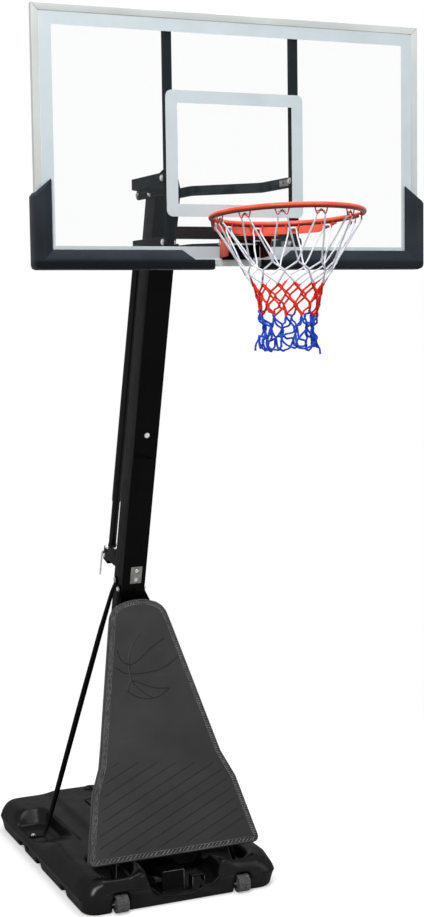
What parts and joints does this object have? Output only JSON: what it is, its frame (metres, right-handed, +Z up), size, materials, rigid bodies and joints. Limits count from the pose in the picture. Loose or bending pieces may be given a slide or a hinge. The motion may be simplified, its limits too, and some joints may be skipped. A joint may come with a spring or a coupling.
{
  "type": "basketball stand",
  "caption": "Portable basketball stand: leaning square pole on a ballast tank with struts and wheels, and a crank lift that raises a clear backboard with a sprung rim and cord net.",
  "frame": {"origin": "on the floor under the middle of the ballast tank", "axes": "+X to the right as seen from the front, -Y towards the front where the hoop is, +Z up"},
  "size_m": [1.394, 2.3345, 3.1657],
  "materials": {
    "tank_plastic": "blow-moulded black plastic, slightly glossy",
    "panel_plastic": "dark grey moulded plastic, fine grain",
    "wheel_plastic": "speckled grey, matte",
    "black_steel": "black powder coat, satin",
    "jack_black": "black, semi-gloss",
    "brown_steel": "brownish black paint",
    "zinc": "bright zinc plating",
    "dull_zinc": "dull zinc plating",
    "frame_aluminium": "pale satin aluminium",
    "clear_sheet": "clear acrylic, glossy",
    "pad": "bluish black soft plastic",
    "orange_steel": "orange-red powder coat, satin",
    "net_cord": "twisted cord in white, red and blue bands"
  },
  "bodies": {
    "stand": {"ballast_tank": "tank_plastic", "pole_lower": "black_steel", "pole_upper": "black_steel", "pole_cap": "tank_plastic", "pole_joint_bolt": "zinc", "pole_axle": "dull_zinc", "strut_side_left": "black_steel", "strut_side_right": "black_steel", "strut_front_left": "black_steel", "strut_front_right": "black_steel", "strut_bolt_side": "zinc", "strut_bolt_front": "zinc", "pole_plate": "dull_zinc", "plate_bolt_upper": "zinc", "plate_bolt_lower": "zinc", "wheel_axle_left": "dull_zinc", "wheel_axle_right": "dull_zinc", "front_panel": "panel_plastic", "jack_bracket": "black_steel", "jack_bracket_pin": "zinc", "lower_arm_block": "black_steel", "pivot_bolt_upper": "zinc", "pivot_bolt_lower": "zinc", "panel_clip_left": "tank_plastic", "panel_clip_right": "tank_plastic", "foot_bolt_left": "zinc", "foot_bolt_right": "zinc"},
    "left_wheel": {"wheel_left": "wheel_plastic"},
    "right_wheel": {"wheel_right": "wheel_plastic"},
    "upper_arms": {"arm_upper_left": "black_steel", "arm_upper_right": "black_steel", "arm_tie": "dull_zinc"},
    "lower_arms": {"arm_lower_left": "black_steel", "arm_lower_right": "black_steel"},
    "backboard": {"board_sheet": "clear_sheet", "rail_top": "frame_aluminium", "rail_bottom": "frame_aluminium", "rail_left": "frame_aluminium", "rail_right": "frame_aluminium", "brace_left": "black_steel", "brace_right": "black_steel", "crossbar": "brown_steel", "corner_pad_left": "pad", "corner_pad_right": "pad", "rim_mount": "brown_steel", "rim_pin": "zinc", "board_bolt_upper_left": "zinc", "board_bolt_upper_right": "zinc", "board_bolt_lower_left": "zinc", "board_bolt_lower_right": "zinc"},
    "rim": {"rim_ring": "orange_steel", "rim_strip": "orange_steel", "rim_carriage": "orange_steel", "net": "net_cord"},
    "jack_foot": {"jack_gearbox": "black_steel", "jack_flange": "zinc", "jack_thin_tube": "jack_black"},
    "jack_tube": {"jack_thick_tube": "jack_black", "jack_top_pin": "dull_zinc"},
    "crank": {"crank_handle": "zinc"}
  },
  "joints": [
    {"name": "left_wheel_spin", "type": "hinge", "parent": "stand", "child": "left_wheel", "pos_m": [-0.246, -0.564, 0.0347], "axis": [1, 0, 0], "continuous": true},
    {"name": "right_wheel_spin", "type": "hinge", "parent": "stand", "child": "right_wheel", "pos_m": [0.246, -0.564, 0.0347], "axis": [1, 0, 0], "continuous": true},
    {"name": "lift", "type": "hinge", "parent": "stand", "child": "upper_arms", "pos_m": [0, -0.5, 2.643], "axis": [-1, 0, 0], "range_deg": [-20, 36]},
    {"name": "lower_arm_swing", "type": "hinge", "parent": "stand", "child": "lower_arms", "pos_m": [0, -0.5, 2.437], "axis": [-1, 0, 0], "range_deg": [-21, 37]},
    {"name": "board_level", "type": "hinge", "parent": "upper_arms", "child": "backboard", "pos_m": [0, -1.099, 2.643], "axis": [1, 0, 0], "range_deg": [-21, 37]},
    {"name": "rim_tip", "type": "hinge", "parent": "backboard", "child": "rim", "pos_m": [0, -1.17, 2.43], "axis": [1, 0, 0], "range_deg": [0, 25], "stiffness_Nm_per_rad": 220, "springref_deg": -28.65},
    {"name": "jack_swing", "type": "hinge", "parent": "stand", "child": "jack_foot", "pos_m": [0, 0.159, 1.222], "axis": [1, 0, 0], "range_deg": [-2.8, 4.6]},
    {"name": "jack_slide", "type": "slide", "parent": "jack_foot", "child": "jack_tube", "axis": [0, -0.2948, 0.9556], "range_m": [-0.175, 0.1]},
    {"name": "crank_turn", "type": "hinge", "parent": "jack_foot", "child": "crank", "pos_m": [0, 0.173, 1.219], "axis": [0, 0.9994, 0.0349], "range_deg": [-1230, 2190]}
  ],
  "couplings": [
    {"joint": "lower_arm_swing", "follows": "lift", "ratio": 1},
    {"joint": "board_level", "follows": "lift", "ratio": 1},
    {"joint": "jack_swing", "follows": "lift", "ratio": 0.1157},
    {"joint": "jack_slide", "follows": "lift", "m_per_rad": -0.2718},
    {"joint": "crank_turn", "follows": "lift", "ratio": 60}
  ]
}
